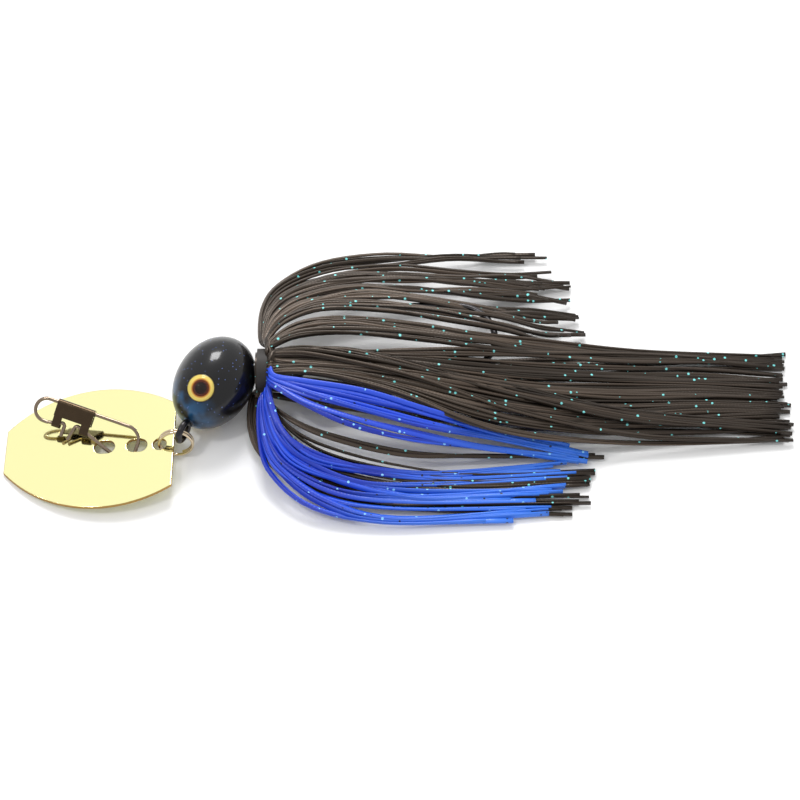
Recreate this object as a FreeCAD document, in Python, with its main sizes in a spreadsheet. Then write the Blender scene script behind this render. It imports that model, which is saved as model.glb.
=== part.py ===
"""A bladed jig (a skirted fishing lure with a wobbling metal blade), laid on its side on a flat surface.

Millimetres, +Z up. The surface is Z = 0, the blade points to -X and the skirt's tail to +X. The hook lies
nearly flat, with its point on the +Y side and the line tie on the -Y side. Each piece of the lure is one object of the document, labelled
with its node's name.
"""

import FreeCAD, Part

import math
import os

from FreeCAD import Placement, Rotation, Vector

doc = FreeCAD.newDocument("bladed_jig")

# ------------------------------------------------------------------------------- driving dimensions

DIMENSIONS = {
    # where the head's centre lies, and how far the hook's plane leans towards the surface on the tie's side
    "head_x": -30.1,
    "head_y": -0.75,
    "head_z": 6.4,
    "head_roll": 4.0,
    # the egg-shaped head: its long axis points to the line tie, at this angle from the shank
    "egg_nose": 8.7,
    "egg_back": 8.0,
    "egg_radius": 6.25,
    "tie_angle": 243.6,
    "neck_base_radius": 1.5,
    "neck_tip_radius": 0.75,
    "neck_sink": 1.6,
    "neck_length": 1.9,
    # the keeper collar that carries the skirt, and its barb
    "keeper_start": 2.0,
    "keeper_radius": 1.7,
    "keeper_end": 13.0,
    "barb_radius": 2.1,
    "barb_length": 1.4,
    "barb_step": 0.25,
    # the hook
    "hook_wire": 1.1,
    "tie_reach": 10.53,
    "tie_radius": 1.55,
    "shank_offset": 2.0,
    "shank_corner": 3.0,
    "hook_reach": 39.4,
    "hook_gap": 12.6,
    "point_leg": 7.0,
    "point_length": 4.2,
    "point_tip_radius": 0.06,
    "point_barb": 0.75,
    "point_barb_length": 2.3,
    # the stick-on eyes
    "iris_diameter": 4.6,
    "iris_thickness": 0.25,
    "socket_depth": 0.35,
    "eye_slack": 0.03,
    "dome_height": 0.8,
    "eye_along": 4.75,
    "eye_across": 0.45,
    # the skirt's middle under the rubber band
    "core_slack": 0.03,
    "core_radius": 3.0,
    "core_start": 6.6,
    "core_end": 9.7,
    "band_radius": 3.6,
    "band_start": 6.9,
    "band_length": 2.2,
    "lock_sections": 9,
    "lock_thickness": 1.7,
    # the blade
    "blade_length": 27.6,
    "blade_rear_margin": 2.33,
    "blade_front_width": 8.1,
    "blade_rear_width": 15.8,
    "blade_edge_radius": 20.9,
    "blade_thick": 0.6,
    "blade_edge_round": 0.12,
    "blade_tilt": 5.5,
    "ring_hole_diameter": 2.2,
    "slot_length": 3.4,
    "slot_width": 2.4,
    "slot_one": 9.05,
    "slot_two": 3.75,
    # the split ring
    "ring_wire": 0.5,
    "ring_radius": 2.68,
    "ring_pitch": 0.53,
    "ring_turns": 1.9,
    "ring_lean": 80.0,
    "ring_x": -36.1,
    "ring_y": -10.7,
    "ring_z": 3.2,
    "ring_hole_angle": 190.0,
    "ring_end_angle": -70.0,
    # the snap
    "snap_wire": 0.6,
    "snap_lean": 36.0,
    "snap_slope": 22.2,
    "snap_loop_radius": 1.85,
    "snap_length": 18.0,
    "snap_half_width": 2.5,
    "snap_play": 0.3,
    "snap_hinge_bend": 0.75,
    "snap_hook_bend": 0.45,
    "clasp_sheet": 0.2,
    "clasp_length": 6.3,
    "clasp_start": 14.7,
    "clasp_lower_edge": 0.25,
    "clasp_tab": 1.4,
    "clasp_gap": 0.1,
    "clasp_tab_slack": 0.2,
}


def make_sheet():
    """The spreadsheet that holds every driving dimension, one alias to a row."""
    sheet = doc.addObject("Spreadsheet::Sheet", "dims")
    for row, (alias, value) in enumerate(DIMENSIONS.items(), start=1):
        sheet.set(f"A{row}", alias)
        sheet.set(f"B{row}", str(value))
        sheet.setAlias(f"B{row}", alias)
    doc.recompute()
    return sheet


SHEET = make_sheet()
ORIGIN = Vector(0, 0, 0)
X_AXIS = Vector(1, 0, 0)
Y_AXIS = Vector(0, 1, 0)
Z_AXIS = Vector(0, 0, 1)


def dim(alias):
    """A driving dimension, read back from the sheet."""
    return float(SHEET.get(alias))


def bind(thing, **expressions):
    """Binds properties of an object to expressions in the sheet's aliases, each written as dims.alias."""
    for name, expression in expressions.items():
        thing.setExpression(name, expression)


def turn(axis, degrees):
    return Placement(ORIGIN, Rotation(axis, degrees))


def shift(x=0.0, y=0.0, z=0.0):
    return Placement(Vector(x, y, z), Rotation())


# --------------------------------------------------------------------------------------- the frames


def head_frame():
    """Origin at the head's centre, +X along the shank to the tail, the hook in its XY plane."""
    return shift(dim("head_x"), dim("head_y"), dim("head_z")) * turn(X_AXIS, dim("head_roll"))


def ring_frame():
    """Origin at the split ring's centre, +Z along its axis."""
    return shift(dim("ring_x"), dim("ring_y"), dim("ring_z")) * turn(X_AXIS, dim("ring_lean"))


def blade_frame():
    """Origin at the centre of the ring hole, halfway through the blade, +X towards the blade's rear edge."""
    angle = math.radians(dim("ring_hole_angle"))
    on_ring = Vector(math.cos(angle), math.sin(angle), 0) * dim("ring_radius")
    return Placement(ring_frame().multVec(on_ring), Rotation()) * turn(Y_AXIS, -dim("blade_tilt"))


def snap_frame():
    """Origin where the snap's hinge line meets the slot near the ring, the wire in its XY plane."""
    lean = blade_frame() * shift(dim("snap_play") - dim("slot_two")) * turn(X_AXIS, dim("snap_lean"))
    return lean * turn(Z_AXIS, -dim("snap_slope"))


# ---------------------------------------------------------------------------------- drawing helpers


def rounded_path(points, radii):
    """A wire of straight runs through the points, with a tangent arc of the given radius at each inner one."""
    edges = []
    start = points[0]
    for before, corner, after, radius in zip(points, points[1:], points[2:], radii):
        inward = (before - corner).normalize()
        outward = (after - corner).normalize()
        half_turn = (math.pi - inward.getAngle(outward)) / 2
        cut = radius * math.tan(half_turn)
        first = corner + inward * cut
        last = corner + outward * cut
        middle_way = (inward + outward).normalize()
        middle = corner + middle_way * (radius / math.cos(half_turn) - radius)
        if (first - start).Length > 1e-4:
            edges.append(Part.LineSegment(start, first).toShape())
        edges.append(Part.Arc(first, middle, last).toShape())
        start = last
    edges.append(Part.LineSegment(start, points[-1]).toShape())
    return Part.Wire(edges)


def swept_wire(name, path, diameter_expression):
    """A round wire along a path, as a Part::Sweep whose section's radius is bound to the sheet."""
    spine = doc.addObject("Part::Feature", name + "_path")
    spine.Shape = path
    section = doc.addObject("Part::Circle", name + "_section")
    bind(section, Radius=diameter_expression + " / 2")
    first = path.OrderedEdges[0]
    start = first.valueAt(first.FirstParameter)
    heading = first.tangentAt(first.FirstParameter)
    if (start - path.OrderedVertexes[0].Point).Length > 1e-6:
        start = first.valueAt(first.LastParameter)
        heading = first.tangentAt(first.LastParameter) * -1
    section.Placement = Placement(start, Rotation(Z_AXIS, heading))
    sweep = doc.addObject("Part::Sweep", name + "_sweep")
    sweep.Sections = [section]
    sweep.Spine = (spine, [f"Edge{i + 1}" for i in range(len(path.Edges))])
    sweep.Solid = True
    sweep.Frenet = False
    return sweep


def primitive(kind, name, placement=None, **expressions):
    thing = doc.addObject("Part::" + kind, name)
    bind(thing, **expressions)
    if placement is not None:
        thing.Placement = placement
    return thing


def fused(name, *shapes):
    joined = doc.addObject("Part::MultiFuse", name)
    joined.Shapes = list(shapes)
    return joined


def cut(name, base, tool):
    rest = doc.addObject("Part::Cut", name)
    rest.Base = base
    rest.Tool = tool
    return rest


SUB_PARTS = []


def sub_part(thing, label, placement):
    """Names a finished piece and sets where it lies."""
    thing.Label = label
    thing.Placement = placement
    SUB_PARTS.append(thing)
    return thing


def body_plane(body, role):
    return next(f for f in body.Origin.OriginFeatures if f.Role == role)


def sketch_on(body, name, role="XY_Plane", offset=None):
    sketch = body.newObject("Sketcher::SketchObject", name)
    sketch.AttachmentSupport = [(body_plane(body, role), "")]
    sketch.MapMode = "FlatFace"
    if offset is not None:
        sketch.AttachmentOffset = offset
    return sketch


def named_constraint(sketch, name, expression, *constraint):
    """Adds one dimension to a sketch and binds it to the sheet."""
    import Sketcher

    index = sketch.addConstraint(Sketcher.Constraint(*constraint))
    sketch.renameConstraint(index, name)
    sketch.setExpression(f"Constraints.{name}", expression)


# -------------------------------------------------------------------------------------------- blade


def blade_outline(body):
    """A flat front edge, a wider flat rear edge, and one arc on each side between them."""
    import Sketcher

    rear = dim("blade_rear_margin")
    front = rear - dim("blade_length")
    front_half = dim("blade_front_width") / 2
    rear_half = dim("blade_rear_width") / 2
    radius = dim("blade_edge_radius")
    front_corner = Vector(front, front_half, 0)
    rear_corner = Vector(rear, rear_half, 0)
    chord = rear_corner - front_corner
    drop = math.sqrt(radius**2 - chord.Length**2 / 4)
    centre = (front_corner + rear_corner) / 2 + Vector(chord.y, -chord.x, 0).normalize() * drop
    low_centre = Vector(centre.x, -centre.y, 0)

    def angle(point, middle):
        return math.atan2(point.y - middle.y, point.x - middle.x)

    sketch = sketch_on(body, "blade_outline")
    upper = Part.Circle(centre, Z_AXIS, radius)
    lower = Part.Circle(low_centre, Z_AXIS, radius)
    flipped_front = Vector(front, -front_half, 0)
    flipped_rear = Vector(rear, -rear_half, 0)
    sketch.addGeometry(Part.LineSegment(flipped_front, front_corner))
    sketch.addGeometry(Part.ArcOfCircle(upper, angle(rear_corner, centre), angle(front_corner, centre)))
    sketch.addGeometry(Part.LineSegment(rear_corner, flipped_rear))
    sketch.addGeometry(
        Part.ArcOfCircle(lower, angle(flipped_front, low_centre), angle(flipped_rear, low_centre))
    )
    for one, end, other, other_end in ((0, 2, 1, 2), (1, 1, 2, 1), (2, 2, 3, 2), (3, 1, 0, 1)):
        sketch.addConstraint(Sketcher.Constraint("Coincident", one, end, other, other_end))
    sketch.addConstraint(Sketcher.Constraint("Symmetric", 0, 1, 0, 2, -1))
    sketch.addConstraint(Sketcher.Constraint("Symmetric", 2, 1, 2, 2, -1))
    sketch.addConstraint(Sketcher.Constraint("Equal", 1, 3))
    named_constraint(sketch, "rear_margin", "dims.blade_rear_margin", "DistanceX", -1, 1, 2, 1, rear)
    named_constraint(
        sketch, "length", "dims.blade_length", "DistanceX", 0, 2, 2, 1, dim("blade_length")
    )
    named_constraint(
        sketch, "front_width", "dims.blade_front_width", "DistanceY", 0, 1, 0, 2, 2 * front_half
    )
    named_constraint(
        sketch, "rear_width", "dims.blade_rear_width", "DistanceY", 2, 2, 2, 1, 2 * rear_half
    )
    named_constraint(sketch, "side_radius", "dims.blade_edge_radius", "Radius", 1, radius)
    return sketch


def slot_profile(sketch, centre_x):
    """A slot along X: two straight sides and two half-round ends."""
    import Sketcher

    half_width = dim("slot_width") / 2
    reach = dim("slot_length") / 2 - half_width
    first = sketch.GeometryCount
    right = Vector(centre_x + reach, 0, 0)
    left = Vector(centre_x - reach, 0, 0)
    rise = Vector(0, half_width, 0)
    quarter = math.pi / 2
    sketch.addGeometry(Part.LineSegment(right + rise, left + rise))
    sketch.addGeometry(Part.ArcOfCircle(Part.Circle(left, Z_AXIS, half_width), quarter, 3 * quarter))
    sketch.addGeometry(Part.LineSegment(left - rise, right - rise))
    sketch.addGeometry(Part.ArcOfCircle(Part.Circle(right, Z_AXIS, half_width), -quarter, quarter))
    for one, end, other, other_end in ((0, 2, 1, 1), (1, 2, 2, 1), (2, 2, 3, 1), (3, 2, 0, 1)):
        sketch.addConstraint(
            Sketcher.Constraint("Tangent", first + one, end, first + other, other_end)
        )


def make_blade():
    body = doc.addObject("PartDesign::Body", "blade_body")
    pad = body.newObject("PartDesign::Pad", "blade_pad")
    pad.Profile = blade_outline(body)
    bind(pad, Length="dims.blade_thick")
    pad.Midplane = True
    doc.recompute()
    full_volume = pad.Shape.Volume
    holes = sketch_on(body, "blade_holes")
    holes.addGeometry(Part.Circle(ORIGIN, Z_AXIS, dim("ring_hole_diameter") / 2))
    named_constraint(
        holes, "ring_hole", "dims.ring_hole_diameter", "Diameter", 0, dim("ring_hole_diameter")
    )
    for alias in ("slot_one", "slot_two"):
        slot_profile(holes, -dim(alias))
    pocket = body.newObject("PartDesign::Pocket", "blade_pocket")
    pocket.Profile = holes
    pocket.Type = 1
    pocket.Midplane = True
    doc.recompute()
    assert pocket.Shape.Volume < full_volume - 1, "the blade's holes cut nothing"
    rim = body.newObject("PartDesign::Fillet", "blade_rim")
    rim.Base = (pocket, blade_rim_edges(pocket.Shape))
    bind(rim, Radius="dims.blade_edge_round")
    sub_part(body, "blade", blade_frame())


def blade_rim_edges(shape):
    """The edges of the two flat faces: every edge but the short upright ones."""
    half = dim("blade_thick") / 2
    names = []
    for index, edge in enumerate(shape.Edges, start=1):
        box = edge.BoundBox
        if box.ZLength < 1e-6 and abs(abs(box.ZMax) - half) < 1e-6:
            names.append(f"Edge{index}")
    return names


# --------------------------------------------------------------------------------------- split ring


def make_split_ring():
    """A flat coil of just under two turns, whose ends lie beside each other."""
    helix = doc.addObject("Part::Helix", "ring_helix")
    bind(
        helix,
        Radius="dims.ring_radius",
        Pitch="dims.ring_pitch",
        Height="dims.ring_pitch * dims.ring_turns",
    )
    helix.SegmentLength = 0.25
    doc.recompute()
    section = doc.addObject("Part::Circle", "ring_section")
    bind(section, Radius="dims.ring_wire / 2")
    section.Placement = Placement(Vector(dim("ring_radius"), 0, 0), Rotation(Z_AXIS, Y_AXIS))
    sweep = doc.addObject("Part::Sweep", "ring_sweep")
    sweep.Sections = [section]
    sweep.Spine = (helix, [f"Edge{i + 1}" for i in range(len(helix.Shape.Edges))])
    sweep.Solid = True
    sweep.Frenet = True
    half_height = dim("ring_pitch") * dim("ring_turns") / 2
    ends_down = turn(Z_AXIS, dim("ring_end_angle"))
    sub_part(sweep, "split_ring", ring_frame() * shift(z=-half_height) * ends_down)


# --------------------------------------------------------------------------------------------- snap


# how far the bends at the line loop fall short of meeting each other
LOOP_BEND_SLACK = 0.005


def snap_points():
    """Corners of the snap's wire and the bend at each, from the hooked end beside the line loop, round the loop,
    along the upper arm, through the blade's slot and back along the free arm to its hooked end."""
    far = -dim("snap_length")
    top = dim("snap_half_width")
    low = top - 2 * dim("snap_loop_radius")
    loop_bend = dim("snap_loop_radius") - LOOP_BEND_SLACK
    hinge_bend = dim("snap_hinge_bend")
    hook_bend = dim("snap_hook_bend")
    corners = [
        (-12.62, -2.7, None),
        (-12.5, -0.42, hook_bend),
        (-15.4, low, 2.0),
        (far, low, loop_bend),
        (far, top, loop_bend),
        (-0.27, top, 2.2),
        (-0.27, -1.6, hinge_bend),
        (-2.7, -3.0, hinge_bend),
        (-10.75, -0.15, hook_bend),
        (-11.4, -2.85, None),
    ]
    return [Vector(x, y, 0) for x, y, _ in corners], [bend for _, _, bend in corners[1:-1]]


def make_snap_wire():
    path = rounded_path(*snap_points())
    sweep = swept_wire("snap", path, "dims.snap_wire")
    sub_part(sweep, "snap_wire", snap_frame())


def arm_height(x, left, right):
    """The height of the straight run between two corners of the snap's wire, at x."""
    share = (x - left.x) / (right.x - left.x)
    return left.y + share * (right.y - left.y)


def clasp_profile(body, name, low_edge, offset, curl):
    """The clasp's section across the arms: a fold round the upper arm, or one tab that curls under."""
    inner = dim("snap_wire") / 2 + dim("clasp_gap")
    outer = inner + dim("clasp_sheet")
    top = dim("snap_half_width")
    sketch = sketch_on(body, name, "YZ_Plane", shift(z=offset))
    quarter = math.pi / 2

    def line(a, b):
        sketch.addGeometry(Part.LineSegment(Vector(*a, 0), Vector(*b, 0)))

    def arc(centre, radius, first, last):
        sketch.addGeometry(Part.ArcOfCircle(Part.Circle(Vector(*centre, 0), Z_AXIS, radius), first, last))

    if curl:
        high_edge = dim("clasp_lower_edge") + 2 * dim("clasp_sheet")
        arc((low_edge, 0), outer, quarter, 3 * quarter)
        arc((low_edge, 0), inner, quarter, 3 * quarter)
        line((low_edge, outer), (high_edge, outer))
        line((high_edge, outer), (high_edge, inner))
        line((high_edge, inner), (low_edge, inner))
        line((low_edge, -outer), (low_edge, -inner))
    else:
        arc((top, 0), outer, -quarter, quarter)
        arc((top, 0), inner, -quarter, quarter)
        for side in (1, -1):
            line((top, side * outer), (low_edge, side * outer))
            line((low_edge, side * outer), (low_edge, side * inner))
            line((low_edge, side * inner), (top, side * inner))
    return sketch


def make_snap_clasp():
    """A folded strip of sheet round the upper arm, with one tab curled under each hooked end."""
    points, _ = snap_points()
    start = -dim("clasp_start")
    tab = dim("clasp_tab")
    half_tab = tab / 2
    inset = dim("clasp_sheet") / 2
    first_tab = start + inset
    second_tab = start + dim("clasp_length") - inset - tab
    tabs = (
        (first_tab, arm_height(first_tab + half_tab, points[2], points[1])),
        (second_tab, arm_height(second_tab + half_tab, points[8], points[7])),
    )
    body = doc.addObject("PartDesign::Body", "clasp_body")
    fold = body.newObject("PartDesign::Pad", "clasp_fold")
    fold.Profile = clasp_profile(body, "clasp_section", dim("clasp_lower_edge"), start, curl=False)
    bind(fold, Length="dims.clasp_length")
    for index, (tab_start, height) in enumerate(tabs):
        curl = body.newObject("PartDesign::Pad", f"clasp_curl_{index}")
        low_edge = height - dim("clasp_tab_slack")
        curl.Profile = clasp_profile(body, f"clasp_curl_section_{index}", low_edge, tab_start, curl=True)
        bind(curl, Length="dims.clasp_tab")
    sub_part(body, "snap_clasp", snap_frame())


# --------------------------------------------------------------------------------------------- hook


def tie_direction():
    angle = math.radians(dim("tie_angle"))
    return Vector(math.cos(angle), math.sin(angle), 0)


def hook_wire_path():
    """From the line tie through the head, along the shank, round the bend and back to where the point starts."""
    along = tie_direction()
    shank_y = dim("shank_offset")
    corner = along * (shank_y / along.y)
    gap = dim("hook_gap")
    bend = gap / 2
    reach = dim("hook_reach") + bend
    points = [
        along * (dim("tie_reach") - dim("tie_radius")),
        corner,
        Vector(reach, shank_y, 0),
        Vector(reach, shank_y + gap, 0),
        Vector(dim("hook_reach") - dim("point_leg"), shank_y + gap, 0),
    ]
    nearly_half_round = 0.99 * bend
    return rounded_path(points, [dim("shank_corner"), nearly_half_round, nearly_half_round])


def make_hook():
    """The hook, with its steel returned as well so that the head can be cut to fit round it."""
    path = hook_wire_path()
    wire = swept_wire("hook_wire", path, "dims.hook_wire")
    eye_centre = Placement(tie_direction() * dim("tie_reach"), Rotation(Z_AXIS, dim("tie_angle")))
    eye = primitive(
        "Torus",
        "hook_eye",
        eye_centre * turn(X_AXIS, 90),
        Radius1="dims.tie_radius",
        Radius2="dims.hook_wire / 2",
    )
    end = path.OrderedVertexes[-1].Point
    heading = (end - path.OrderedEdges[-1].CenterOfMass).normalize()
    leg_end = Placement(end, Rotation(Z_AXIS, heading))
    point = primitive(
        "Cone",
        "hook_point",
        leg_end,
        Radius1="dims.hook_wire / 2",
        Radius2="dims.point_tip_radius",
        Height="dims.point_length",
    )
    barb = primitive(
        "Cone",
        "hook_barb",
        leg_end,
        Radius1="dims.point_barb",
        Radius2="dims.point_tip_radius",
        Height="dims.point_barb_length",
    )
    shank_side = primitive(
        "Box",
        "barb_side",
        leg_end * barb_side(heading),
        Length="2 * dims.point_barb",
        Width="2 * dims.point_barb",
        Height="dims.point_barb_length",
    )
    half_barb = doc.addObject("Part::Common", "half_barb")
    half_barb.Base, half_barb.Tool = barb, shank_side
    steel = fused("hook_solid", wire, eye, point, half_barb)
    hook = doc.addObject("Part::Compound", "hook_in_place")
    hook.Links = [steel]
    sub_part(hook, "hook", head_frame())
    return steel


def barb_side(heading):
    """The place, in the point's frame, of a box that holds the half of the barb on the shank's side."""
    towards_shank = Rotation(Z_AXIS, heading).inverted().multVec(-Y_AXIS)
    return Placement(ORIGIN, Rotation(X_AXIS, towards_shank)) * shift(y=-dim("point_barb"))


# --------------------------------------------------------------------------------------------- head


def shank_axis(x):
    """A place on the shank's axis at x, turned so that +Z points to the tail."""
    return shift(x, dim("shank_offset")) * turn(Y_AXIS, 90)


def eye_place(side):
    """Where an eye sits, in the head's frame, with +Z out of the egg's surface. side is 1 for the upper eye."""
    along, across = dim("eye_along"), dim("eye_across")
    radius, nose = dim("egg_radius"), dim("egg_nose")
    lift = math.sqrt(radius**2 * (1 - (along / nose) ** 2) - across**2)
    turned = turn(Z_AXIS, dim("tie_angle"))
    spot = turned.multVec(Vector(along, across, side * lift))
    slope = Vector(along / nose**2, across / radius**2, side * lift / radius**2)
    return Placement(spot, Rotation(Z_AXIS, turned.multVec(slope)))


def make_head(hook_steel):
    """The lead casting: an egg, a neck round the line tie, and the keeper collar with its barb."""
    egg_turn = turn(Z_AXIS, dim("tie_angle")) * turn(Y_AXIS, 90)
    halves = []
    for name, alias, low, high in (("nose", "egg_nose", 0, 90), ("back", "egg_back", -90, 0)):
        half = primitive(
            "Ellipsoid",
            f"egg_{name}",
            egg_turn,
            Radius1="dims." + alias,
            Radius2="dims.egg_radius",
            Radius3="dims.egg_radius",
        )
        half.Angle1, half.Angle2 = low, high
        halves.append(half)
    neck = primitive(
        "Cone",
        "head_neck",
        egg_turn * shift(z=dim("egg_nose") - dim("neck_sink")),
        Radius1="dims.neck_base_radius",
        Radius2="dims.neck_tip_radius",
        Height="dims.neck_length",
    )
    keeper = primitive(
        "Cylinder",
        "keeper",
        shank_axis(dim("keeper_start")),
        Radius="dims.keeper_radius",
        Height="dims.keeper_end - dims.keeper_start",
    )
    barb = primitive(
        "Cone",
        "keeper_barb",
        shank_axis(dim("keeper_end")),
        Radius1="dims.barb_radius",
        Radius2="dims.hook_wire / 2 + dims.barb_step",
        Height="dims.barb_length",
    )
    casting = fused("casting", *halves, neck, keeper, barb)
    sockets = []
    for name, side in (("left", 1), ("right", -1)):
        socket = primitive(
            "Cylinder",
            f"{name}_socket",
            eye_place(side) * shift(z=-dim("socket_depth")),
            Radius="dims.iris_diameter / 2",
            Height="dims.egg_radius / 2",
        )
        sockets.append(socket)
    tools = fused("head_tools", hook_steel, *sockets)
    head = cut("head_solid", casting, tools)
    sub_part(head, "jig_head", head_frame())


def make_eyes():
    """Each eye is a printed foil disc in its socket, under a clear domed drop of resin."""
    radius = dim("iris_diameter") / 2 - dim("eye_slack")
    height = dim("dome_height")
    ball_radius = (radius**2 + height**2) / (2 * height)
    for name, side in (("left", 1), ("right", -1)):
        seat = eye_place(side) * shift(z=-dim("socket_depth"))
        iris = primitive(
            "Cylinder",
            f"{name}_iris_disc",
            Radius="dims.iris_diameter / 2 - dims.eye_slack",
            Height="dims.iris_thickness",
        )
        sub_part(iris, f"{name}_eye_iris", head_frame() * seat)
        ball = primitive("Sphere", f"{name}_dome_ball", shift(z=height - ball_radius))
        ball.Radius = ball_radius
        slab = primitive(
            "Cylinder",
            f"{name}_dome_slab",
            Radius="dims.iris_diameter",
            Height="2 * dims.dome_height",
        )
        dome = doc.addObject("Part::Common", f"{name}_dome")
        dome.Base, dome.Tool = ball, slab
        sub_part(dome, f"{name}_eye_dome", head_frame() * seat * shift(z=dim("iris_thickness")))


# -------------------------------------------------------------------------------------------- skirt


def tube(name, inner, outer, height):
    """A hollow cylinder, with its sizes given as expressions."""
    wall = primitive("Cylinder", name + "_outer", Radius=outer, Height=height)
    hole = primitive("Cylinder", name + "_hole", shift(z=-1), Radius=inner, Height=height + " + 2")
    return cut(name, wall, hole)


def make_skirt_middle():
    core = tube(
        "core_tube",
        "dims.keeper_radius + dims.core_slack",
        "dims.core_radius",
        "dims.core_end - dims.core_start",
    )
    sub_part(core, "strand_core", head_frame() * shank_axis(dim("core_start")))
    band = tube(
        "band_tube",
        "dims.core_radius + dims.core_slack",
        "dims.band_radius",
        "dims.band_length",
    )
    sub_part(band, "skirt_band", head_frame() * shank_axis(dim("band_start")))


# Each lock of strands: points its middle line passes through, and its half width at the band and at the tip.
LOCKS = {
    "front_black_strands_outer": (
        [
            (-22.9, 5.6, 7.4), (-22.6, 10, 6.6), (-18.6, 16.4, 5.2),
            (-9, 20.8, 3.4), (6, 22.6, 1.9), (25, 23.4, 1.2),
        ],
        (1.4, 3.5),
    ),
    "front_black_strands_inner": (
        [
            (-20.4, 6.2, 9.3), (-16, 9, 9.8), (-9, 11.4, 9.7), (1.5, 12.6, 9.6),
            (12, 13, 9.2), (20, 13.8, 6.2), (30, 14.6, 1.3),
        ],
        (1.3, 3.0),
    ),
    "tail_strands_side": (
        [
            (-20.1, 5.1, 6.6), (-14, 6.6, 4.2), (-7, 7, 2.2), (2, 6.9, 1.4),
            (16, 6.7, 1.2), (40, 6.4, 1.2), (64.4, 6.2, 1.2),
        ],
        (1.0, 2.9),
    ),
    "tail_strands_over_hook": (
        [
            (-20.1, 1.2, 10.2), (-6, 0.5, 10.2), (6, -0.2, 9.6),
            (16, -0.4, 7.2), (28, -0.4, 3.2), (44, -0.3, 1.4), (64.3, -0.1, 1.2),
        ],
        (1.6, 2.8),
    ),
    "tail_strands_under_hook": (
        [
            (-20.2, 0.8, 2.7), (-6, -2.6, 1.6), (8, -5, 1.3),
            (24, -6.2, 1.2), (44, -6.4, 1.2), (64, -6.2, 1.2),
        ],
        (1.5, 2.6),
    ),
    "front_blue_strands_upper": (
        [
            (-21.2, -3.4, 9.2), (-12, -6.6, 10.2), (-2, -9.6, 10),
            (8, -11.8, 8.2), (19, -13.2, 3.8), (33, -14, 1.3),
        ],
        (1.3, 2.5),
    ),
    "front_blue_strands_lower": (
        [
            (-22.6, -4, 5.4), (-22.2, -9.8, 5), (-18, -17, 3.8),
            (-9, -22.4, 2.1), (4, -24, 1.3), (23, -23.8, 1.2),
        ],
        (1.4, 2.7),
    ),
    "front_black_strands_under": (
        [
            (-22, -2.4, 2.7), (-21.4, -7.4, 1.8), (-15.6, -12.8, 1.2),
            (-4, -16.6, 1.1), (12, -18.4, 1.1), (31, -19.4, 1.1),
        ],
        (1.2, 1.7),
    ),
}


def lock_solid(points, half_widths):
    """A soft lock of strands: one smooth loft through flat ellipses set square to its middle line."""
    line = Part.BSplineCurve()
    line.interpolate([Vector(*point) for point in points])
    count = int(dim("lock_sections"))
    root, tip = half_widths
    half_thickness = dim("lock_thickness") / 2
    sections = []
    for index in range(count):
        share = index / (count - 1)
        at = line.parameterAtDistance(line.length() * share, line.FirstParameter)
        heading = line.tangent(at)[0]
        sideways = Z_AXIS.cross(heading).normalize()
        half_width = root + (tip - root) * share
        section = Part.Wire([Part.Ellipse(ORIGIN, half_width, half_thickness).toShape()])
        square_to_line = Rotation(sideways, heading.cross(sideways), heading, "XZY")
        section.Placement = Placement(line.value(at), square_to_line)
        sections.append(section)
    return Part.makeLoft(sections, True)


def make_locks():
    for name, (points, half_widths) in LOCKS.items():
        lock = doc.addObject("Part::Feature", name + "_loft")
        lock.Shape = lock_solid(points, half_widths)
        sub_part(lock, name, Placement())


# -------------------------------------------------------------------------------------------- build


def check(things):
    """Stops if any object failed to recompute, or any sub-part isn't made of valid closed solids."""
    for thing in doc.Objects:
        bad = {"Invalid", "Error"} & set(thing.State)
        assert not bad, f"{thing.Name} is {thing.State}"
    for thing in things:
        shape = thing.Shape
        assert not shape.isNull(), f"{thing.Label} has no shape"
        assert shape.isValid(), f"{thing.Label} isn't valid"
        assert shape.Solids, f"{thing.Label} has no solid"
        assert all(solid.Volume > 0 for solid in shape.Solids), f"{thing.Label} is inside out"


def export(things):
    os.makedirs("parts", exist_ok=True)
    for thing in things:
        thing.Shape.exportStep(f"parts/{thing.Label}.step")
        box = thing.Shape.BoundBox
        size = f"{box.XLength:6.1f} x {box.YLength:5.1f} x {box.ZLength:5.1f}"
        print(f"{thing.Label:28s} {size} mm, {thing.Shape.Volume:8.2f} mm3, {len(thing.Shape.Solids)} solid")


def main():
    make_blade()
    make_split_ring()
    make_snap_wire()
    make_snap_clasp()
    make_head(make_hook())
    make_eyes()
    make_skirt_middle()
    make_locks()
    doc.recompute()
    check(SUB_PARTS)
    export(SUB_PARTS)


main()
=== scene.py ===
"""The bladed jig's looks: its materials, and the skirt's strands one by one, on a bright white surface.

Metres, +Z up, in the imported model's frame. Lengths written with MM are millimetres.
"""

import math
import random

import bpy
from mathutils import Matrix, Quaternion, Vector


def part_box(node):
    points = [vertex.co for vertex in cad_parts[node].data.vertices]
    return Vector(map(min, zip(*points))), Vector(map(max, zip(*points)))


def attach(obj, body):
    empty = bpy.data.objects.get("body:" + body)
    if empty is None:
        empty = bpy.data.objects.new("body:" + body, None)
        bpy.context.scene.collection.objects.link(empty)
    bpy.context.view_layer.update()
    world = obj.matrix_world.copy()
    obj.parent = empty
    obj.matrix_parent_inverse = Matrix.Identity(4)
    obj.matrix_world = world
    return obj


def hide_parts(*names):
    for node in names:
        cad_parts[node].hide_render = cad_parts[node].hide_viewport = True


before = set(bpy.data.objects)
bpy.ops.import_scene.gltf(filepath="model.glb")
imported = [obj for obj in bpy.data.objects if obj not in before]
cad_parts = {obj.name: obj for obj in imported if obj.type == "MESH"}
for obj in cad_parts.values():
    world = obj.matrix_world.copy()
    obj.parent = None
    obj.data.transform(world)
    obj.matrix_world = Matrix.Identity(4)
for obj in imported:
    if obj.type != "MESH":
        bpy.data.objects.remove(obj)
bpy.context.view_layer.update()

MM = 0.001
RANDOM = random.Random(7)

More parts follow.
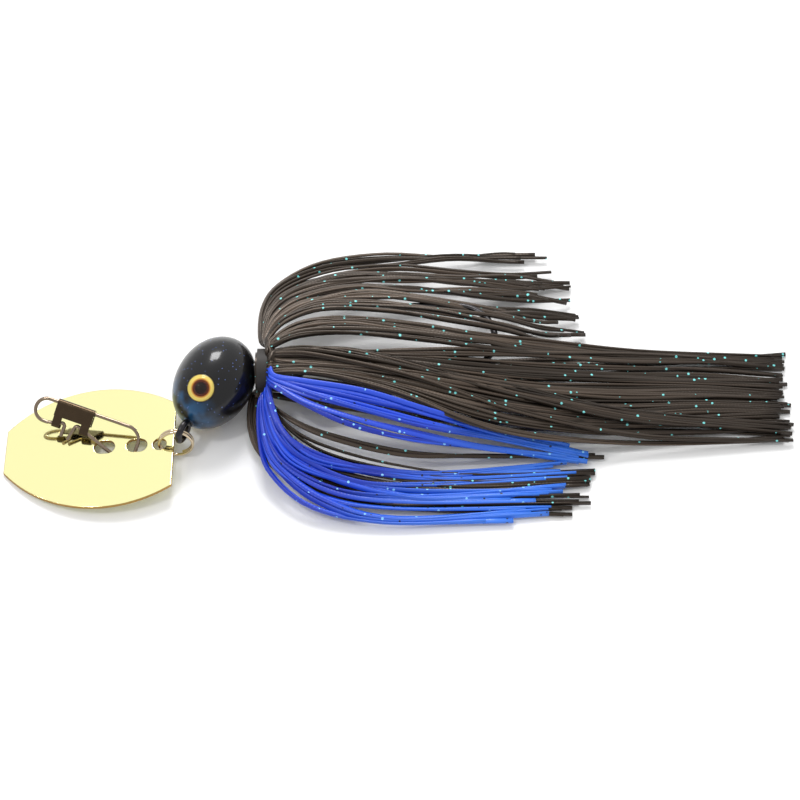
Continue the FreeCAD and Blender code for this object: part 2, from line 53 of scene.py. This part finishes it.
# The camera's angle in degrees, its lens in millimetres, how much it sees and where it looks, as in the
# photograph, and the nearest place that it sees.
CAMERA_ELEVATION = 55.0
CAMERA_LENS = 103.6
FIELD_WIDTH = 132 * MM
CAMERA_TARGET = Vector((0, 0, 0))
CAMERA_CLIP = 0.01

# The silicone strands: the widest one's width, their thickness, how far their section is from an ellipse
# (1) towards a rectangle (0), how finely each is drawn, and the least height of its middle line.
STRAND_WIDTH = 0.84 * MM
STRAND_THICKNESS = 0.42 * MM
STRAND_SQUARENESS = 0.6
STRAND_RINGS = 44
STRAND_SIDES = 8
LOWEST_STRAND = 0.42 * MM

# Where a strand leaves the band: its distance from the band's axis, and from the band's end.
ROOT_RADIUS = 2.9 * MM
ROOT_INSET = 0.4 * MM

# How far a strand first flares out from the band, and along it.
FLARE_OUT = 1.2 * MM
FLARE_ALONG = 0.5 * MM

# How the locks vary: a lock's middle lies in this part of its share of the family, its strands spread this
# far on each side of the middle, as a share of a lock, and its sway turns by so many radians from one
# guide point to the next.
LOCK_MIDDLE = (0.3, 0.7)
LOCK_SPREAD = 0.55
SWAY_TURN = 2.1

# How the strands vary: the radians that a root may stray round the band, how far a strand may pass its
# family's lines, as a share of the family's width, the millimetres that a guide point may stray, how early
# a strand's lift starts, as a share of its length, and the most radians by which it is turned at its root
# and then turns along its length.
ROOT_SPREAD = 0.1
OVERRUN = 0.05
WOBBLE = 0.28
LIFT_START = 0.1
ROOT_TWIST = 0.9
LENGTH_TWIST = 2.5

# How the strands are coloured: above 1, DARKNESS makes dark ones more common than light ones. The tip's
# colour starts at this share of the length, and the fine ridges start at up to so many millimetres.
DARKNESS = 1.5
TIP_START = 0.72
RIDGE_START = 50

# The printed eye: the disc's size and how finely it is drawn, its pupil's colour, and where each ring's
# colour starts and is full, in millimetres from the centre.
IRIS_RADIUS = 2.26 * MM
IRIS_THICKNESS = 0.24 * MM
IRIS_SIDES = 64
PUPIL = (0.008, 0.003, 0.002)
IRIS_RINGS = (
    (0.9, 1.1, (0.10, 0.018, 0.006)),
    (1.32, 1.45, (0.70, 0.28, 0.04)),
    (1.5, 1.66, (1.0, 0.80, 0.20)),
    (2.1, 2.2, (0.05, 0.03, 0.01)),
)

# The light from in front of the object and from behind it, and how far a direction points along +Y where
# the one starts to turn into the other, and where it has.
DIM_CARD = (0.78, 0.78, 0.78)
BRIGHT_CARD = (1.0, 1.0, 1.0)
CARD_EDGE = (-0.25, 0.45)

# The two soft boxes: place and side in metres, and power in watts.
LAMPS = {
    "back window": ((-0.03, 0.33, 0.41), 0.17, 1.6),
    "small front light": ((-0.21, -0.075, 0.465), 0.05, 0.4),
}
FLOOR_SIDE = 3.0


# ------------------------------------------------------------------------------------------------ materials


def node_of_type(tree, kind):
    return next(node for node in tree.nodes if node.type == kind)


def new_material(name):
    """A material whose tree holds only its output and one principled shader."""
    material = bpy.data.materials.new(name)
    material.use_nodes = True
    tree = material.node_tree
    return material, tree, node_of_type(tree, "BSDF_PRINCIPLED")


def set_inputs(node, **values):
    """Sets a node's sockets by name; an underscore in the word stands for a space."""
    for word, value in values.items():
        node.inputs[word.replace("_", " ")].default_value = value


def add_node(tree, kind, **properties):
    node = tree.nodes.new("ShaderNode" + kind)
    for name, value in properties.items():
        setattr(node, name, value)
    return node


def math_node(tree, operation, *operands):
    """A math node; each operand is a socket or a number."""
    node = add_node(tree, "Math", operation=operation)
    for socket, operand in zip(node.inputs, operands):
        if isinstance(operand, (int, float)):
            socket.default_value = operand
        else:
            tree.links.new(operand, socket)
    return node.outputs[0]


def mixed(tree, share, first, second):
    """A colour between two others; each is a socket or an RGB tuple."""
    node = add_node(tree, "Mix", data_type="RGBA")
    sockets = {s.identifier: s for s in node.inputs}
    tree.links.new(share, sockets["Factor_Float"])
    for name, colour in (("A_Color", first), ("B_Color", second)):
        if isinstance(colour, tuple):
            sockets[name].default_value = (*colour, 1.0)
        else:
            tree.links.new(colour, sockets[name])
    return next(s for s in node.outputs if s.identifier == "Result_Color")


def object_position(tree):
    return add_node(tree, "TexCoord").outputs["Object"]


def noise(tree, scale, detail=2.0):
    node = add_node(tree, "TexNoise")
    set_inputs(node, Scale=scale, Detail=detail)
    tree.links.new(object_position(tree), node.inputs["Vector"])
    return node.outputs["Fac"]


def between(tree, value, low, high):
    """0 at low, 1 at high, a straight ramp between them and level beyond. low may be above high."""
    node = add_node(tree, "MapRange")
    node.clamp = True
    set_inputs(node, From_Min=low, From_Max=high)
    tree.links.new(value, node.inputs["Value"])
    return node.outputs["Result"]


def specks(tree, spacing, radius, share, seed=0.0):
    """1 inside scattered round specks: their spacing in metres, their radius as a share of it, and the
    share of the cells that have one. seed moves the pattern."""
    shifted = add_node(tree, "VectorMath", operation="ADD")
    tree.links.new(object_position(tree), shifted.inputs[0])
    shifted.inputs[1].default_value = (seed, seed, seed)
    cells = add_node(tree, "TexVoronoi")
    set_inputs(cells, Scale=1 / spacing, Randomness=1.0)
    tree.links.new(shifted.outputs[0], cells.inputs["Vector"])
    inside = math_node(tree, "LESS_THAN", cells.outputs["Distance"], radius)
    colour = add_node(tree, "SeparateColor")
    tree.links.new(cells.outputs["Color"], colour.inputs[0])
    chosen = math_node(tree, "LESS_THAN", colour.outputs[0], share)
    return math_node(tree, "MULTIPLY", inside, chosen)


def bump(tree, shader, height, strength, distance):
    node = add_node(tree, "Bump")
    set_inputs(node, Strength=strength, Distance=distance)
    tree.links.new(height, node.inputs["Height"])
    tree.links.new(node.outputs[0], shader.inputs["Normal"])


def metal(name, colour, roughness, unevenness=0.0, scale=400.0):
    """Plated or bare metal, its roughness a little uneven."""
    material, tree, shader = new_material(name)
    set_inputs(shader, Base_Color=(*colour, 1.0), Metallic=1.0, Roughness=roughness)
    if unevenness:
        spread = between(tree, noise(tree, scale), low=0.3, high=0.7)
        uneven = math_node(tree, "MULTIPLY_ADD", spread, unevenness, roughness)
        tree.links.new(uneven, shader.inputs["Roughness"])
    return material


def blade_material():
    """Mirror-polished pale gold, very slightly wavy, as stamped sheet is, and duller on its cut edge, where
    the surface no longer faces up or down.
    The browner colour on that edge is a painted dark reflection, not the plating's own colour."""
    # The second colour, used on the cut edge, is a painted dark reflection, not a colour of the metal.
    plate, edge_painted_reflection = (1.0, 0.97, 0.50), (0.42, 0.24, 0.07)
    material, tree, shader = new_material("polished gold plate")
    set_inputs(shader, Metallic=1.0)
    direction = add_node(tree, "SeparateXYZ")
    tree.links.new(add_node(tree, "TexCoord").outputs["Normal"], direction.inputs[0])
    edge = between(tree, math_node(tree, "ABSOLUTE", direction.outputs["Z"]), low=0.97, high=0.80)
    # Painted dark reflection: the edge colour is mixed in where the surface stops facing up or down.
    tree.links.new(mixed(tree, edge, plate, edge_painted_reflection), shader.inputs["Base Color"])
    tree.links.new(math_node(tree, "MULTIPLY_ADD", edge, 0.3, 0.08), shader.inputs["Roughness"])
    bump(tree, shader, noise(tree, 90.0, detail=1.0), strength=0.2, distance=0.03 * MM)
    return material


def head_material():
    """Gloss black over lead, with a painted blue reflection in patches on the nose, and fine blue flake."""
    # The second colour, blue, is a painted blue reflection on the nose. The flake colour is the paint's own
    # fleck.
    black, blue, flake = (0.004, 0.004, 0.005), (0.015, 0.085, 0.20), (0.10, 0.16, 0.42)
    material, tree, shader = new_material("black head paint")
    set_inputs(shader, Roughness=0.32, Coat_Weight=0.6, Coat_Roughness=0.12, Specular_IOR_Level=0.1)
    low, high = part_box("jig_head")
    nose = Vector((low.x, low.y, (low.z + high.z) / 2))
    away = add_node(tree, "VectorMath", operation="DISTANCE")
    tree.links.new(object_position(tree), away.inputs[0])
    away.inputs[1].default_value = nose
    nose_reflection_share = between(tree, away.outputs["Value"], low=8.5 * MM, high=3.5 * MM)
    reflection_patches = between(tree, noise(tree, 300.0), low=0.42, high=0.6)
    # Painted blue reflection: blue is mixed in, in patches, and is strongest at the nose.
    colour = mixed(tree, math_node(tree, "MULTIPLY", nose_reflection_share, reflection_patches), black, blue)
    colour = mixed(tree, specks(tree, 0.55 * MM, radius=0.15, share=0.4), colour, flake)
    tree.links.new(colour, shader.inputs["Base Color"])
    bump(tree, shader, noise(tree, 150.0, detail=1.0), strength=0.15, distance=0.1 * MM)
    return material


def strand_material(name, dark, light, tip, flakes, roughness, shine):
    """Silicone in a tone between dark and light, strand by strand, with its own colour at the tip, and
    flakes, each given as a colour and the share of places that have one."""
    material, tree, shader = new_material(name)
    set_inputs(shader, Roughness=roughness, Specular_IOR_Level=0.5, Specular_Tint=(*shine, 1.0))
    tone = add_node(tree, "Attribute", attribute_name="tone")
    grown = add_node(tree, "Attribute", attribute_name="grown")
    colour = mixed(tree, tone.outputs["Fac"], dark, light)
    colour = mixed(tree, between(tree, grown.outputs["Fac"], TIP_START, 1.0), colour, tip)
    for index, (flake, share) in enumerate(flakes):
        speck = specks(tree, 0.9 * MM, radius=0.24, share=share, seed=0.37 * (index + 1))
        colour = mixed(tree, speck, colour, flake)
    tree.links.new(colour, shader.inputs["Base Color"])
    along = add_node(tree, "UVMap")
    ridges = add_node(tree, "TexWave", wave_type="BANDS", bands_direction="X")
    set_inputs(ridges, Scale=0.55, Distortion=1.5)
    tree.links.new(along.outputs[0], ridges.inputs["Vector"])
    bump(tree, shader, ridges.outputs["Fac"], strength=0.25, distance=0.04 * MM)
    return material


def eye_resin_material():
    """Clear resin: what lies under it shows unchanged, with a faint gloss that grows towards the edge."""
    material, tree, shader = new_material("clear eye resin")
    tree.nodes.remove(shader)
    clear = add_node(tree, "BsdfTransparent")
    gloss = add_node(tree, "BsdfAnisotropic")
    set_inputs(gloss, Roughness=0.02)
    edge = add_node(tree, "Fresnel")
    set_inputs(edge, IOR=1.25)
    blend = add_node(tree, "MixShader")
    tree.links.new(edge.outputs[0], blend.inputs[0])
    tree.links.new(clear.outputs[0], blend.inputs[1])
    tree.links.new(gloss.outputs[0], blend.inputs[2])
    tree.links.new(blend.outputs[0], node_of_type(tree, "OUTPUT_MATERIAL").inputs["Surface"])
    return material


def iris_material():
    """A printed eye: dark pupil, thin orange rim, gold iris and a fine dark outline, by the distance from
    the centre."""
    material, tree, shader = new_material("printed iris")
    length = add_node(tree, "VectorMath", operation="LENGTH")
    tree.links.new(object_position(tree), length.inputs[0])
    radius = length.outputs["Value"]
    colour = PUPIL
    for start, full, ring in IRIS_RINGS:
        colour = mixed(tree, between(tree, radius, start * MM, full * MM), colour, ring)
    set_inputs(shader, Roughness=0.35, Specular_IOR_Level=0.05)
    tree.links.new(colour, shader.inputs["Base Color"])
    return material


def plain(name, colour, roughness):
    material, _, shader = new_material(name)
    set_inputs(shader, Base_Color=(*colour, 1.0), Roughness=roughness)
    return material


def paint_node(node, material):
    """Gives a CAD node its material."""
    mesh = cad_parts[node].data
    mesh.materials.clear()
    mesh.materials.append(material)


# -------------------------------------------------------------------------------------------------- strands


def curve_through(points, count):
    """So many places, as many in each span, along a smooth curve that passes through every point."""
    ends = [points[0] * 2 - points[1], *points, points[-1] * 2 - points[-2]]
    places = []
    spans = len(points) - 1
    for step in range(count):
        where = step / (count - 1) * spans
        span = min(int(where), spans - 1)
        t = where - span
        a, b, c, d = ends[span : span + 4]
        linear = c - a
        square = 2 * a - 5 * b + 4 * c - d
        cube = 3 * b - a - 3 * c + d
        places.append(0.5 * (2 * b + linear * t + square * t * t + cube * t**3))
    return places


def boxed(value):
    """A sine or cosine pushed outwards, which turns an ellipse towards a rectangle."""
    return math.copysign(abs(value) ** STRAND_SQUARENESS, value)


class StrandMesh:
    """One mesh that holds a whole tuft of strands: how far along its strand each vertex is, in millimetres
    and as a share, and its strand's tone."""

    def __init__(self):
        self.vertices = []
        self.faces = []
        self.lengths = []
        self.tones = []
        self.grown = []

    def add(self, places, width, twist, twist_rate, tone):
        """A flat strip along the places, turned by twist at its root and twist_rate more over its length."""
        first = len(self.vertices)
        side = Vector((0, 0, 1)).cross(places[1] - places[0]).normalized()
        travelled = 0.0
        start = RANDOM.uniform(0, RIDGE_START)
        for index, place in enumerate(places):
            ahead = places[min(index + 1, len(places) - 1)]
            behind = places[max(index - 1, 0)]
            heading = (ahead - behind).normalized()
            side = (side - heading * side.dot(heading)).normalized()
            if index == len(places) - 1:
                travelled += (place - behind).length
            elif index:
                travelled += (ahead - behind).length / 2
            turned = side.copy()
            turned.rotate(Quaternion(heading, twist + twist_rate * index / len(places)))
            upright = heading.cross(turned)
            for corner in range(STRAND_SIDES):
                angle = 2 * math.pi * (corner + 0.5) / STRAND_SIDES
                across = boxed(math.cos(angle)) * width / 2
                up = boxed(math.sin(angle)) * STRAND_THICKNESS / 2
                self.vertices.append(place + turned * across + upright * up)
                self.lengths.append(start + travelled / MM)
                self.tones.append(tone)
                self.grown.append(index / (len(places) - 1))
        for ring in range(len(places) - 1):
            base = first + ring * STRAND_SIDES
            for corner in range(STRAND_SIDES):
                after = (corner + 1) % STRAND_SIDES
                self.faces.append(
                    (base + corner, base + after, base + STRAND_SIDES + after, base + STRAND_SIDES + corner)
                )
        last = first + (len(places) - 1) * STRAND_SIDES
        self.faces.append(tuple(range(first + STRAND_SIDES - 1, first - 1, -1)))
        self.faces.append(tuple(range(last, last + STRAND_SIDES)))

    def finish(self, name, material, replaced):
        mesh = bpy.data.meshes.new(name)
        mesh.from_pydata(self.vertices, [], self.faces)
        mesh.update()
        uv = mesh.uv_layers.new(name="UVMap")
        for loop in mesh.loops:
            uv.data[loop.index].uv = (self.lengths[loop.vertex_index], 0.0)
        for word, values in (("tone", self.tones), ("grown", self.grown)):
            attribute = mesh.attributes.new(word, "FLOAT", "POINT")
            attribute.data.foreach_set("value", values)
        for polygon in mesh.polygons:
            polygon.use_smooth = len(polygon.vertices) == 4
        mesh.materials.append(material)
        strands = bpy.data.objects.new(name, mesh)
        bpy.context.collection.objects.link(strands)
        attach(strands, "head")
        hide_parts(*replaced)


def band_size():
    """The band's centre, and half its length along the shank."""
    low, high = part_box("skirt_band")
    return (low + high) / 2, (high.x - low.x) / 2


BAND_CENTRE, BAND_HALF = band_size()


def strand_guide(family, share, angle, lock):
    """One strand's guide points, from the band on, between its family's inner and outer lines. A lock's
    strands wander together, by the lock's drift and phase."""
    forward = family["forward"]
    out = Vector((0, math.cos(angle), math.sin(angle)))
    root = BAND_CENTRE + out * ROOT_RADIUS + Vector((-forward * (BAND_HALF - ROOT_INSET), 0, 0))
    flare = root + out * FLARE_OUT + Vector((-forward * FLARE_ALONG, 0, 0))
    points = [root, flare]
    inner, outer = family["inner"], family["outer"]
    lift = RANDOM.uniform(0, family["lift"])
    for index, (near, far) in enumerate(zip(inner, outer)):
        grown = (index + 1) / len(inner)
        where = min(max(share + lock["drift"] * grown, -OVERRUN), 1 + OVERRUN)
        place = Vector(near).lerp(Vector(far), where)
        sway = family["sway"] * grown * math.sin(lock["phase"] + SWAY_TURN * index)
        place.y += sway + RANDOM.uniform(-WOBBLE, WOBBLE)
        place.z += lift * math.sin(math.pi * min(grown + LIFT_START, 1.0))
        points.append(place * MM)
    points[-1] = points[-2].lerp(points[-1], RANDOM.uniform(family["cut"], 1.0))
    return points


def grow_tuft(tuft, family):
    """Adds a family's locks to a tuft's mesh, each lock a few strands that keep close to each other."""
    locks, strands = family["locks"]
    first_angle, last_angle = (math.radians(angle) for angle in family["angles"])
    width = family["width"] * STRAND_WIDTH
    for index in range(locks):
        middle = (index + RANDOM.uniform(*LOCK_MIDDLE)) / locks
        drift = RANDOM.uniform(-1, 1) * family["drift"]
        lock = {"drift": drift, "phase": RANDOM.uniform(0, 2 * math.pi)}
        for _ in range(strands):
            share = middle + RANDOM.uniform(-LOCK_SPREAD, LOCK_SPREAD) / locks
            angle = first_angle + (last_angle - first_angle) * share
            angle += RANDOM.uniform(-ROOT_SPREAD, ROOT_SPREAD)
            places = curve_through(strand_guide(family, share, angle, lock), STRAND_RINGS)
            for place in places:
                place.z = max(place.z, LOWEST_STRAND)
            tone = RANDOM.random() ** DARKNESS
            twist = RANDOM.uniform(-ROOT_TWIST, ROOT_TWIST)
            tuft.add(places, width, twist, RANDOM.uniform(-LENGTH_TWIST, LENGTH_TWIST), tone)


# Each family of strands lies between an inner and an outer line of guide points, in millimetres. It has so
# many locks of so many strands. Its angles are where it leaves the band, in degrees from +Y towards +Z,
# and forward is where along the band, from 1 on the head's side to -1 on the tail's. width is a share of
# the widest strand's. drift is how far a lock may cross the family, as a share of the family's width, sway
# and lift are in millimetres, and cut is the least share of its last stretch that a strand keeps.
FRONT_BLACK = {
    "locks": (16, 3),
    "angles": (70, 10),
    "forward": -0.5,
    "width": 0.8,
    "lift": 0.8,
    "sway": 0.7,
    "drift": 0.12,
    "cut": 0.25,
    "inner": [
        (-21.5, 5.4, 9.6), (-18.5, 8.8, 10), (-12.5, 11.2, 10), (-2.5, 11.8, 9.6),
        (6.5, 10.2, 9.4), (16.5, 8.8, 8), (24, 10.2, 4.2), (32, 11.4, 0.9),
    ],
    "outer": [
        (-22.9, 6.7, 7.6), (-22.7, 13.3, 7), (-20, 19.3, 5.8), (-13, 24.2, 4.4),
        (-2.5, 26.7, 3.2), (8.5, 28.2, 1.9), (17, 28.7, 1.2), (27.5, 28.7, 0.9),
    ],
}
ARCHED_TAIL = {
    "locks": (5, 3),
    "angles": (56, 80),
    "forward": -1,
    "width": 0.85,
    "lift": 0.5,
    "sway": 0.5,
    "drift": 0.3,
    "cut": 0.9,
    "inner": [
        (-20.5, 2.9, 10.6), (-16, 4.7, 10.8), (-8, 5.4, 10.6), (3.5, 3.8, 9.8),
        (13, 3.4, 9), (23, 4.3, 6.2), (40, 5.7, 2.2), (64, 4.2, 0.9),
    ],
    "outer": [
        (-21, 4.4, 10.4), (-16.5, 8.3, 10.4), (-9, 9.6, 10.2), (2.5, 9.2, 9.4),
        (12.5, 8, 8.8), (23, 7.5, 6.2), (40, 9, 1.9), (64, 9.4, 0.8),
    ],
}
CROSSING_TAIL = {
    "locks": (4, 3),
    "angles": (84, 104),
    "forward": -1,
    "width": 0.85,
    "lift": 0.6,
    "sway": 0.6,
    "drift": 0.4,
    "cut": 0.92,
    "inner": [
        (-20, 1.4, 10.4), (-15.5, 1.4, 10.8), (-8, 0.3, 10.6), (3, -2.6, 9.6),
        (19.5, -6.6, 6.6), (39, -8.6, 3), (64, -9, 0.9),
    ],
    "outer": [
        (-20, 2.2, 10.6), (-15.5, 2.9, 11), (-8, 2.4, 10.8), (3, 0.8, 9.8),
        (19.5, -1.5, 7), (39, -3.6, 3.2), (64.4, -5, 0.9),
    ],
}
LEVEL_TAIL = {
    "locks": (18, 3),
    "angles": (44, 152),
    "forward": -1,
    "width": 0.85,
    "lift": 0.6,
    "sway": 0.4,
    "drift": 0.06,
    "cut": 0.9,
    "inner": [
        (-19.5, 2.4, 9.8), (-11.5, 2.2, 10.2), (0, 2.9, 10), (11.5, 4, 8.8),
        (22, 5.5, 6.4), (36.5, 7.6, 2.8), (50, 8, 1.4), (64, 7.6, 0.8),
    ],
    "outer": [
        (-19.5, -1.4, 9.6), (-11.5, -2.3, 9.4), (0, -5.4, 8.8), (11, -9.7, 7.4),
        (21, -11.6, 5.4), (34, -10.9, 2.4), (48.5, -9.4, 1.2), (62.5, -8.7, 0.8),
    ],
}
LOW_TAIL = {
    "locks": (6, 3),
    "angles": (-10, -150),
    "forward": -1,
    "width": 0.85,
    "lift": 0.2,
    "sway": 0.8,
    "drift": 0.2,
    "cut": 0.9,
    "inner": [
        (-14, 5, 3.6), (-4, 5.6, 2), (8, 6, 1), (24, 6.6, 0.6),
        (44, 7.4, 0.5), (64.4, 8.4, 0.5),
    ],
    "outer": [
        (-14, -3, 2.8), (-4, -4.6, 1.4), (8, -6.4, 0.8), (24, -7.8, 0.6),
        (44, -8, 0.5), (64.4, -8.6, 0.5),
    ],
}
BLUE_UPPER = {
    "locks": (6, 2),
    "angles": (118, 158),
    "forward": -0.9,
    "width": 1.0,
    "lift": 0.4,
    "sway": 0.4,
    "drift": 0.25,
    "cut": 0.75,
    "inner": [
        (-20, -2.6, 10.2), (-15, -3.5, 10.6), (-5, -5, 10.2), (6.5, -7.2, 8.6),
        (17.5, -8.1, 4.6), (31, -10.7, 1.2),
    ],
    "outer": [
        (-20.5, -3.8, 9.4), (-15, -8, 9.2), (-8, -11.4, 8.2), (1.5, -13, 6),
        (13, -12.8, 3.4), (30.5, -12.9, 1),
    ],
}
BLUE_LOWER = {
    "locks": (15, 2),
    "angles": (150, 206),
    "forward": -0.8,
    "width": 1.0,
    "lift": 0.6,
    "sway": 0.7,
    "drift": 0.25,
    "cut": 0.6,
    "inner": [
        (-21, -4.8, 8), (-18.5, -10.5, 6.6), (-13, -14.2, 5), (-3, -15.7, 3.4),
        (8.5, -14.9, 2.2), (30.5, -12.9, 1),
    ],
    "outer": [
        (-22.6, -4.7, 6.4), (-22.6, -11.1, 4.6), (-21, -16.3, 3.2), (-14.5, -21.9, 2),
        (-3, -25.3, 1.2), (24, -24.2, 0.8),
    ],
}
MIXED_BLACK = {
    "locks": (5, 2),
    "angles": (150, 214),
    "forward": -0.9,
    "width": 0.85,
    "lift": 0.3,
    "sway": 0.6,
    "drift": 0.3,
    "cut": 0.85,
    "inner": [
        (-21.5, -4.5, 6.4), (-16.5, -8.6, 5.6), (-9.5, -11.6, 4.8), (1, -13.1, 3.6),
        (13, -13.1, 2.2), (33, -12.4, 0.8),
    ],
    "outer": [
        (-22, -2.4, 3.4), (-20.5, -9.6, 2.4), (-15.5, -17.2, 1.6), (-4.5, -22.4, 1),
        (8.5, -23.9, 0.7), (30, -22.9, 0.6),
    ],
}
FAR_BLACK = {
    "locks": (4, 3),
    "angles": (200, 262),
    "forward": 1,
    "width": 0.85,
    "lift": 0.3,
    "sway": 0.6,
    "drift": 0.3,
    "cut": 0.6,
    "inner": [
        (-23.2, -2, 3.4), (-23, -7.6, 2.4), (-19.4, -12.5, 1.6), (-9.6, -16.8, 1),
        (4.8, -19.4, 0.7), (31, -18.4, 0.5),
    ],
    "outer": [
        (-24.6, -2, 2.8), (-24.8, -6.8, 1.8), (-23, -11.9, 1.2), (-17, -17.6, 0.8),
        (-4.8, -22, 0.5), (27, -23.6, 0.5),
    ],
}


def make_skirt():
    """The skirt: four tufts, each one mesh in place of the CAD locks listed with it, and the strand core."""
    black = strand_material(
        "black silicone",
        dark=(0.003, 0.002, 0.001),
        light=(0.078, 0.058, 0.044),
        tip=(0.010, 0.007, 0.005),
        flakes=(((0.20, 0.70, 0.70), 0.17),),
        roughness=0.32,
        shine=(1.0, 0.84, 0.72),
    )
    blue = strand_material(
        "blue silicone",
        dark=(0.004, 0.022, 0.36),
        light=(0.018, 0.078, 0.68),
        tip=(0.04, 0.19, 0.78),
        flakes=(((0.01, 0.01, 0.03), 0.07), ((0.25, 0.60, 0.95), 0.15)),
        roughness=0.33,
        shine=(1.0, 1.0, 1.0),
    )
    tufts = (
        (
            "front_black_tuft",
            black,
            "skirt_black",
            (FRONT_BLACK,),
            ("front_black_strands_outer", "front_black_strands_inner"),
        ),
        (
            "tail_tuft",
            black,
            "skirt_black",
            (ARCHED_TAIL, CROSSING_TAIL, LEVEL_TAIL, LOW_TAIL),
            ("tail_strands_side", "tail_strands_over_hook", "tail_strands_under_hook"),
        ),
        (
            "front_blue_tuft",
            blue,
            "skirt_blue",
            (BLUE_UPPER, BLUE_LOWER),
            ("front_blue_strands_upper", "front_blue_strands_lower"),
        ),
        (
            "lower_black_tuft",
            black,
            "skirt_black",
            (MIXED_BLACK, FAR_BLACK),
            ("front_black_strands_under",),
        ),
    )
    for name, material, slot, families, replaced in tufts:
        tuft = StrandMesh()
        for family in families:
            grow_tuft(tuft, family)
        tuft.finish(name, material, replaced)
    paint_node("strand_core", black)


# ----------------------------------------------------------------------------------------------------- eyes


def outward_axis(node):
    """The direction a thin disc node faces, away from the head, as the mean of the faces on that side."""
    low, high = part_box(node)
    head_low, head_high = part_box("jig_head")
    away = ((low + high) / 2 - (head_low + head_high) / 2).normalized()
    facing_enough = 0.6
    total = Vector()
    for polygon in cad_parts[node].data.polygons:
        if polygon.normal.dot(away) > facing_enough:
            total += polygon.normal * polygon.area
    return total.normalized()


def make_iris(side, material):
    """A flat round print in the eye's socket, drawn by its material. It stands for the CAD disc."""
    node = f"{side}_eye_iris"
    low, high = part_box(node)
    axis = outward_axis(node)
    bpy.ops.mesh.primitive_cylinder_add(vertices=IRIS_SIDES, radius=IRIS_RADIUS, depth=IRIS_THICKNESS)
    iris = bpy.context.object
    iris.name = f"{side}_printed_iris"
    iris.rotation_mode = "QUATERNION"
    iris.rotation_quaternion = Vector((0, 0, 1)).rotation_difference(axis)
    iris.location = (low + high) / 2
    iris.data.materials.append(material)
    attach(iris, "head")
    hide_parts(node)


# ---------------------------------------------------------------------------------------------------- stage


def make_world():
    """Soft white light that is brightest behind the object, as when a white card stands behind it."""
    world = bpy.data.worlds.new("studio")
    bpy.context.scene.world = world
    world.use_nodes = True
    tree = world.node_tree
    background = node_of_type(tree, "BACKGROUND")
    direction = add_node(tree, "SeparateXYZ")
    tree.links.new(add_node(tree, "TexCoord").outputs["Generated"], direction.inputs[0])
    behind = between(tree, direction.outputs["Y"], *CARD_EDGE)
    tree.links.new(mixed(tree, behind, DIM_CARD, BRIGHT_CARD), background.inputs["Color"])


def make_lamp(name, place, size, energy):
    """A square soft box that faces the middle of the surface."""
    lamp = bpy.data.lights.new(name, "AREA")
    lamp.energy = energy
    lamp.size = size
    holder = bpy.data.objects.new(name, lamp)
    bpy.context.collection.objects.link(holder)
    holder.location = place
    holder.rotation_mode = "QUATERNION"
    holder.rotation_quaternion = Vector((0, 0, -1)).rotation_difference(-Vector(place))


def make_stage():
    """A white surface under soft light from all round, and two soft boxes."""
    bpy.ops.mesh.primitive_plane_add(size=FLOOR_SIDE, location=(0, 0, 0))
    floor = bpy.context.object
    floor.name = "floor"
    floor.data.materials.append(plain("white surface", (0.93, 0.93, 0.93), roughness=0.7))
    make_world()
    for name, (place, size, energy) in LAMPS.items():
        make_lamp(name, place, size, energy)


def make_camera():
    camera = bpy.data.objects.new("camera", bpy.data.cameras.new("camera"))
    bpy.context.collection.objects.link(camera)
    camera.data.lens = CAMERA_LENS
    camera.data.clip_start = CAMERA_CLIP
    distance = FIELD_WIDTH * CAMERA_LENS / camera.data.sensor_width
    tilt = math.radians(CAMERA_ELEVATION)
    camera.location = CAMERA_TARGET + Vector((0, -math.cos(tilt), math.sin(tilt))) * distance
    camera.rotation_euler = (math.pi / 2 - tilt, 0, 0)
    bpy.context.scene.camera = camera
    bpy.context.scene.view_settings.view_transform = "Standard"


# ----------------------------------------------------------------------------------------------------- main

paint_node("blade", blade_material())
paint_node("split_ring", metal("bright nickel", (0.62, 0.51, 0.36), roughness=0.10))
paint_node("snap_wire", metal("black nickel wire", (0.26, 0.20, 0.15), roughness=0.12, unevenness=0.1))
sheet = metal("dark nickel sheet", (0.065, 0.045, 0.028), roughness=0.16, unevenness=0.15, scale=900.0)
paint_node("snap_clasp", sheet)
paint_node("hook", metal("black nickel hook", (0.045, 0.043, 0.045), roughness=0.25))
paint_node("jig_head", head_material())
paint_node("skirt_band", plain("band rubber", (0.018, 0.014, 0.012), roughness=0.6))
resin = eye_resin_material()
printed = iris_material()
for side in ("left", "right"):
    paint_node(f"{side}_eye_dome", resin)
    make_iris(side, printed)
make_skirt()
make_stage()
make_camera()
